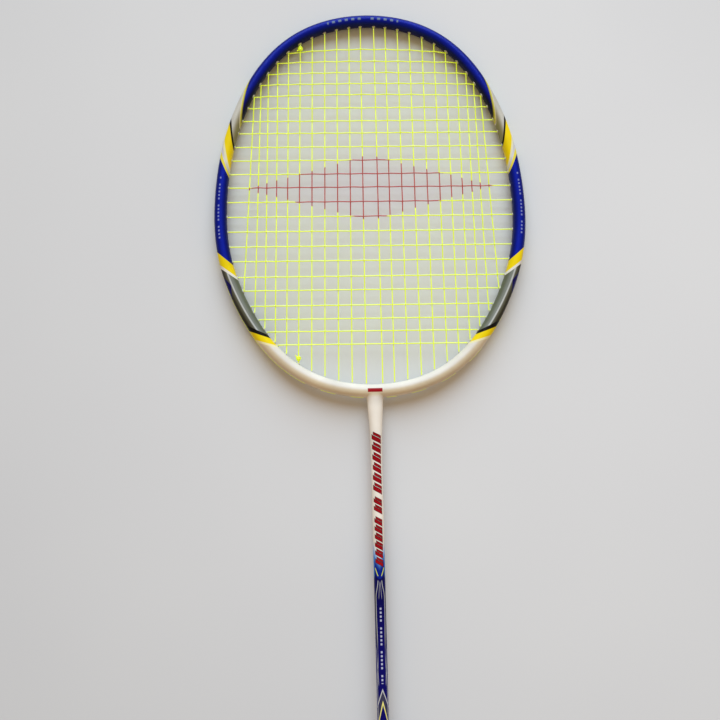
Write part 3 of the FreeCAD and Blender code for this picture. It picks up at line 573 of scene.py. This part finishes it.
def under_radius(th, y):
    """radius of what the wrap lies on, at angle th from +Z about the handle"""
    hx = np.interp(y, _ys, _ax) / 2 - TH - LIFT * 0.75
    hz = np.interp(y, _ys, _az) / 2 - TH - LIFT * 0.75
    cut = 0.29 * 2 * np.minimum(hx, hz)
    hd = (hx + hz - cut) / math.sqrt(2)
    p = 26.0
    tot = 0.0
    for k in range(8):
        a = k * math.pi / 4
        h = (hz, hd, hx, hd, hz, hd, hx, hd)[k]
        tot = tot + np.maximum(np.cos(th - a), 0.0) ** p / h ** p
    r8 = tot ** (-1.0 / p)
    rc = np.interp(y, [178.0, 180.0, 182.0, 185.0], [12.15, 12.05, 11.95, 11.62]) - TH - LIFT * 0.75
    w = smooth01((y - 177.5) / 2.5)
    return r8 * (1 - w) + rc * w


def thick(d):
    """thickness of the strip at a distance from its nearer edge: skived towards the edge"""
    d = np.maximum(d, 0.0)
    body = 0.34 + 0.66 * smooth01(d / 3.6)
    lip = np.sqrt(np.clip(1 - (1 - np.clip(d / 0.45, 0, 1)) ** 2, 0, 1))
    return TH * body * (0.35 + 0.65 * lip)


def top_edge(a):
    return np.minimum(GY0 + 4.0 + PITCH * a / (2 * math.pi), GY1)


def low_edge(a):
    return np.maximum(GY0 + 4.0 + PITCH * a / (2 * math.pi) - STRIP, GY0)


def wobble(th, y, f):
    """a gentle hand-made unevenness"""
    return (np.sin(th * 3.0 + y * 0.21 * f) * 0.5 + np.sin(th * 7.0 - y * 0.37 * f + 1.3) * 0.3
            + np.sin(th * 2.0 + y * 0.83 * f + 0.4) * 0.2)


a_end = 2 * math.pi * (GY1 - 2.2 + STRIP - GY0 - 4.0) / PITCH
NA = 1500
aa = np.linspace(0.0, a_end, NA)
vv = np.concatenate([[0.0, 0.006, 0.014, 0.024, 0.038], np.linspace(0.055, 0.945, 34), [0.962, 0.976, 0.986, 0.994, 1.0]])
A, Vv = np.meshgrid(aa, vv, indexing="ij")
yl, yt = low_edge(A), top_edge(A)
Y = yl + (yt - yl) * Vv
TH_DIR = -1.0
th = TH_DIR * A + 0.6
dB, dT = Y - yl, yt - Y
prev_top = np.where(A >= 2 * math.pi, top_edge(A - 2 * math.pi), -1e3)
dP = prev_top - Y                                     # how far inside the turn below
raised = np.where(dP > 0, thick(dP), thick(np.zeros_like(dP) + 0.02) * smooth01(1 + dP / 2.4))
raised = np.where(dP < -2.4, 0.0, raised)
rb = under_radius(th, Y)
inner = rb + raised + 0.02
t = thick(np.minimum(dB, dT))
outer = inner + t + 0.07 * wobble(th, Y, 1.0) * smooth01(np.minimum(dB, dT) / 2.0)
# the middle of the strip is a little fuller than its edges
outer += 0.10 * np.sin(np.pi * Vv) ** 2
vi = np.linspace(0.985, 0.015, 9)
A2, V2 = np.meshgrid(aa, vi, indexing="ij")
yl2, yt2 = low_edge(A2), top_edge(A2)
Y2 = yl2 + (yt2 - yl2) * V2
th2 = TH_DIR * A2 + 0.6
dP2 = np.where(A2 >= 2 * math.pi, top_edge(A2 - 2 * math.pi), -1e3) - Y2
raised2 = np.where(dP2 > 0, thick(dP2), thick(np.zeros_like(dP2) + 0.02) * smooth01(1 + dP2 / 2.4))
raised2 = np.where(dP2 < -2.4, 0.0, raised2)
inn2 = under_radius(th2, Y2) + raised2 + 0.02
rr = np.concatenate([outer, inn2], axis=1)
yy = np.concatenate([Y, Y2], axis=1)
tt = np.concatenate([th, th2], axis=1)
X = rr * np.sin(tt) / 1000.0
Zc = rr * np.cos(tt) / 1000.0
pts = np.stack([X, yy / 1000.0, Zc], axis=-1)
K = pts.shape[1]
verts = pts.reshape(-1, 3)
faces = []
for i in range(NA - 1):
    o = i * K
    for j in range(K):
        j2 = (j + 1) % K
        faces.append((o + j, o + K + j, o + K + j2, o + j2))
faces.append(tuple(range(K)))
faces.append(tuple(range((NA - 1) * K, NA * K))[::-1])
me = bpy.data.meshes.new("grip_wrap_strip")
me.from_pydata(verts.tolist(), [], faces)
me.validate()
me.update()
vol = 0.0
me.calc_loop_triangles()
co = np.array([v.co for v in me.vertices])
for tri in me.loop_triangles:
    p0, p1, p2 = co[list(tri.vertices)]
    vol += float(np.dot(p0, np.cross(p1, p2))) / 6
if vol < 0:
    me.flip_normals()
for poly_ in me.polygons:
    poly_.use_smooth = len(poly_.vertices) == 4
wrap = bpy.data.objects.new("grip_wrap_strip", me)
bpy.context.scene.collection.objects.link(wrap)

gp = Mat("grip_leather", Sheen_Weight=0.25, Sheen_Roughness=0.5, Specular_IOR_Level=0.38)
theta = gp.f("ARCTAN2", gp.x, gp.z)
turn = (gp.y - (GY0 + 4.0)) / PITCH + (theta - 0.6) * (-TH_DIR / (2 * math.pi)) * -1.0
across = turn.fract() * PITCH                        # mm down from a strip's top edge
along = theta * 13.0
row = across / 5.0
cell = row - gp.f("FLOOR", row) - 0.5
odd = gp.f("FLOOR", row).abs()
shift = gp.f("MODULO", odd, 2.0) * 0.5
cell2 = (along / 5.105 + shift).fract() - 0.5
hole_d = gp.f("SQRT", cell * cell * 25.0 + cell2 * cell2 * 26.06)
hole_and_painted_shade = 1.0 - gp.step(hole_d, 0.52, 0.22)
grain = gp.noise(1.5, 5.0, 0.62)
pores = gp.cells(2.6)
soil = gp.ramp(gp.noise(0.035, 4.0, 0.6), 0.40, 0.72)
leather = gp.mix(grain, lin(20, 24, 66), lin(36, 42, 96))
leather = gp.mix(soil * 0.45, leather, lin(58, 60, 84))
# painted shade: the perforations are painted near black, standing in for the shade inside them
leather = gp.mix(hole_and_painted_shade, leather, lin(6, 6, 12))
height = grain * 0.6 + pores * 0.25 - hole_and_painted_shade * 1.6
gp.bump(height, 0.16, 0.8)
me.materials.append(gp.done(leather, gp.ramp(grain, 0.3, 0.7, 0.56, 0.76) - soil * 0.10))
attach(wrap, "root")
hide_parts("grip_wrap")
